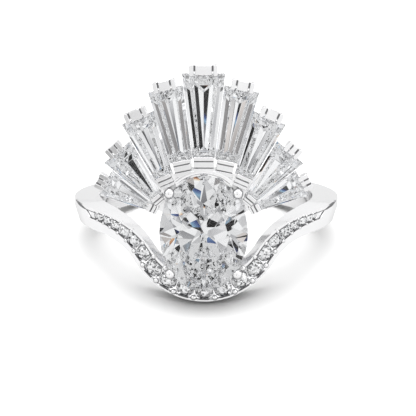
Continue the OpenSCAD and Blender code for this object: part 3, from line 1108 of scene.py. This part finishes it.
@dataclass
class BaguetteStone:
    """One tapered baguette, in steps that run parallel to its outline."""

    seat: FanSeat
    crown_in: float = 0.3
    near_in: float = 0.44
    far_in: float = 0.6
    first_step: float = 0.14
    main_slope: float = 0.86
    spread: float = 0.037

    def half_at(self, v: float, inset: float) -> float:
        """Returns half the stone's width at a distance along it, less an inset."""
        seat = self.seat
        taper = (seat.wide - seat.narrow) / 2 / seat.long
        return seat.narrow / 2 + self.spread + taper * v - inset * hypot(1, taper)

    def level(self, side: float, near: float, far: float, w: float) -> Loop:
        """Works out the four corners of one step.

        Args:
            side: the step's inset from the long sides.
            near: its inset from the narrow end.
            far: its inset from the wide end.
            w: its height above the girdle's middle.

        Returns:
            The corners, counter-clockwise from outside.
        """
        top = self.seat.long - far
        a, b = self.half_at(near, side), self.half_at(top, side)
        return [Vector((-a, near, w)), Vector((a, near, w)), Vector((b, top, w)),
                Vector((-b, top, w))]

    def build(self, finish: Material) -> Piece:
        """Cuts the stone: two steps and the table above the girdle, a step and a keel below.

        Args:
            finish: the diamond's material.

        Returns:
            The stone.
        """
        seat = self.seat
        edge, crown = seat.girdle / 2, seat.crown
        side = self.crown_in * seat.narrow
        step = 0.1 * seat.narrow + 0.03
        low = -edge - self.first_step
        keel = [Vector((0, v, low - self.main_slope * self.half_at(v, step)))
                for v in (seat.narrow * 0.55, seat.long - seat.wide * 0.45)]
        points = [*self.level(side, self.near_in, self.far_in, edge + crown),
                  *self.level(side * 0.48, self.near_in * 0.5, self.far_in * 0.52,
                              edge + crown * 0.64),
                  *self.level(0, 0, 0, edge), *self.level(0, 0, 0, -edge),
                  *self.level(step, step * 1.2, step * 1.2, low), *keel]
        here = seat.place()
        bench = Bench(points=[here @ p for p in points])
        add = bench.faces.append
        add((0, 1, 2, 3))
        for k in range(0, 16, 4):
            for i in range(4):
                j = (i + 1) % 4
                add((k + i, k + 4 + i, k + 4 + j, k + j))
        for face in ((16, 20, 17), (17, 20, 21, 18), (18, 21, 19), (19, 21, 20, 16)):
            add(face)
        return bench.cut_stone(f"baguette_cut_{seat.number}", finish, f"baguette_{seat.number}")


@dataclass
class SmallStones:
    """The row's small diamonds, which keep the model's own shapes."""

    node: str = "small_diamonds"

    def dress(self, frame: dict, finish: Material) -> None:
        for slot in frame["nodes"][self.node].material_slots:
            slot.material = finish
        LOG.info("%s dressed", self.node)


@dataclass
class Studio:
    """A plain pale floor, soft light and the camera at the photograph's angle."""

    elevation: float = 13.0
    azimuth: float = 0.785
    distance: float = 76.0
    focal_px: float = 945.1
    aim: tuple[float, float, float] = (0.133, 0.0, 0.957)
    high_light: float = 2.2
    bounces: int = 24
    gap_scale: float = 3.5
    dark_wobble: float = 0.02
    soft_scale: float = 1.6
    deep_from: float = 5.0
    deep_to: float = 10.0
    deep_tone: Colour = (*grey(0.72), 1.0)
    open_air: Colour = (*grey(1.0), 1.0)
    walls: Stops = (
        (0.375, grey(0.005)), (0.385, (0.05, 0.08, 0.26)), (0.39, (0.28, 0.46, 0.62)),
        (0.4, (0.16, 0.16, 0.17)), (0.44, (0.5, 0.5, 0.51)), (0.5, grey(0.82)),
        (0.56, grey(0.95)), (0.62, grey(0.98)), (0.655, grey(1.0)),
        (0.658, (0.95, 0.8, 0.45)), (0.661, (0.5, 0.18, 0.08)), (0.668, grey(0.01)),
    )
    behind: Stops = ((0.0, grey(1.0)), (0.985, grey(1.0)), (0.993, (0.8, 0.74, 0.7)),
                     (1.0, (0.3, 0.29, 0.29)))
    plain: Stops = ((0.3, grey(0.25)), (0.36, grey(0.8)), (0.46, grey(0.98)),
                    (0.7, grey(1.08)))

    def camera(self) -> None:
        """Puts the camera where the photograph was taken from."""
        a, e = radians(self.azimuth), radians(self.elevation)
        back = Vector((sin(a) * cos(e), -cos(a) * cos(e), sin(e)))
        right = Vector((cos(a), sin(a), 0.0))
        turn = Matrix((right, back.cross(right), back)).transposed()
        basis = Matrix.Rotation(-POSE.tilt, 3, "X") @ turn
        lens = bpy.data.cameras.new("camera")
        lens.lens = self.focal_px / IMAGE_SIDE * SENSOR_MM
        lens.sensor_width = SENSOR_MM
        lens.clip_start, lens.clip_end = 0.001, 10.0
        camera = shown("camera", lens)
        place = POSE.matrix() @ (Vector(self.aim) + back * self.distance)
        camera.matrix_world = Matrix.Translation(place) @ basis.to_4x4()
        bpy.context.scene.camera = camera

    def floor(self, finish: Material) -> None:
        """Lays the floor, a wide sheet that the stones don't see."""
        mesh = bpy.data.meshes.new("floor")
        tool = bmesh.new()
        bmesh.ops.create_grid(tool, x_segments=24, y_segments=24, size=1.2)
        tool.to_mesh(mesh)
        tool.free()
        mesh.materials.append(finish)
        floor = shown("floor", mesh)
        floor.visible_transmission = False

    def light(self, name: str, place: tuple[float, float, float], size: Point2,
              power: float) -> None:
        """Adds one soft box that faces the ring.

        Args:
            name: the light's name.
            place: where it hangs, in metres.
            size: its width and height, in metres.
            power: its power, in watts.
        """
        data = bpy.data.lights.new(name, "AREA")
        data.shape = "RECTANGLE"
        data.size, data.size_y = size
        data.energy = power
        lamp = shown(name, data)
        lamp.location = place
        lamp.visible_transmission = False
        lamp.rotation_mode = "QUATERNION"
        lamp.rotation_quaternion = Vector(place).to_track_quat("Z", "Y")

    def seen_by_stones(self, board: Board) -> Socket:
        """Returns the room as the stones see it. Its pale walls have small dark gaps with
        coloured fringes, which the stones break up into fire, and a dark place lies behind
        the camera."""
        cloud = board.noise(self.gap_scale, 1.0, "Generated")
        tall = radians(self.elevation) + POSE.tilt
        toward = board.tree.nodes.new("ShaderNodeVectorMath")
        toward.operation = "DOT_PRODUCT"
        board.fill(toward, {0: board.where("Generated"), 1: (0.0, -cos(tall), sin(tall))})
        uneven = board.tree.nodes.new("ShaderNodeMath")
        uneven.operation = "MULTIPLY_ADD"
        board.fill(uneven, {0: cloud, 1: self.dark_wobble, 2: toward.outputs["Value"]})
        return board.mix(1.0, board.ramp(cloud, self.walls),
                         board.ramp(uneven.outputs["Value"], self.behind), "MULTIPLY")

    def world(self) -> None:
        """Surrounds the ring with the room, which is plain and calm but for the stones, and
        lights the floor mostly from above."""
        world = bpy.data.worlds.new("room")
        bpy.context.scene.world = world
        world.use_nodes = True
        board = Board(world.node_tree)
        path = board.add("ShaderNodeLightPath", {})
        deep = board.ranged(path["Ray Depth"], {
            "From Min": self.deep_from, "From Max": self.deep_to})
        stones = board.mix(deep, self.seen_by_stones(board), self.deep_tone)
        plain = board.ramp(board.noise(self.soft_scale, 0.0, "Generated"), self.plain)
        high = board.add("ShaderNodeSeparateXYZ", {"Vector": board.where("Generated")})["Z"]
        glow = board.ranged(high, {"To Max": self.high_light})
        tone = board.mix(path["Is Transmission Ray"], plain, stones)
        tone = board.mix(path["Is Diffuse Ray"], tone, glow)
        tone = board.mix(path["Is Camera Ray"], tone, self.open_air)
        board.fill(world.node_tree.nodes["Background"], {"Color": tone})

    def build(self) -> None:
        """Sets up the floor, the lights, the room and the camera."""
        self.camera()
        self.floor(PaleFloor().material())
        self.world()
        self.light("overhead", (0.0, -0.04, 0.4), (0.35, 0.35), 0.7)
        self.light("left", (-0.35, -0.15, 0.2), (0.2, 0.3), 0.1)
        self.light("right", (0.35, -0.15, 0.2), (0.2, 0.3), 0.1)
        scene = bpy.context.scene
        scene.view_settings.view_transform = "Standard"
        scene.cycles.caustics_reflective = False
        scene.cycles.caustics_refractive = False
        scene.cycles.max_bounces = self.bounces
        scene.cycles.glossy_bounces = self.bounces
        scene.cycles.transmission_bounces = self.bounces


def main() -> None:
    """Builds and dresses the ring and its studio, piece by piece."""
    logging.basicConfig(level=logging.INFO, format="%(message)s")
    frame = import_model()
    metal = PolishedMetal().material()
    # A darker copy of the metal: near-black painted shade round each dome's rim, where it turns
    # away from view.
    domes = PolishedMetal("domed_metal_painted_rim", rim=(0.1, 0.1, 0.105, 1.0), turn_from=0.2,
                          turn_to=0.75).material()
    # Both are painted shade: near-black metal laid in grooves and slots where shadow falls.
    groove_shade = PaintedGrooveShade().material()
    seam_shade = PaintedGrooveShade("seam_painted_shade", (0.14, 0.14, 0.145, 1.0), (0.24, 0.24, 0.245, 1.0)).material()
    pieces = [Band().build(metal), RowBeads().build(domes), RowShadeLines().build(groove_shade),
              *OvalMount().build(metal, domes)]
    for seat in Fan().seats():
        pieces += seat.build(metal, seam_shade)
    for piece in pieces:
        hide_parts("setting")
        LOG.info("%s: %d faces", piece.name, len(piece.data.polygons))
    clear = CutDiamond().material()
    deeper = CutDiamond("oval_cut_diamond", (0.9, 0.905, 0.91, 1.0), (0.84, 0.85, 0.865, 1.0))
    small = CutDiamond("small_diamond_painted_glints", mirror=(*grey(0.9), 1.0), painted_glint_scale=9000.0)
    stones = [OvalStone().build(deeper.material())]
    stones += [BaguetteStone(seat).build(clear) for seat in Fan().seats()]
    for stone in stones:
        LOG.info("%s: %d facets", stone.name, len(stone.data.polygons))
    SmallStones().dress(frame, small.material())
    Studio().build()


if __name__ == "__main__":
    main()
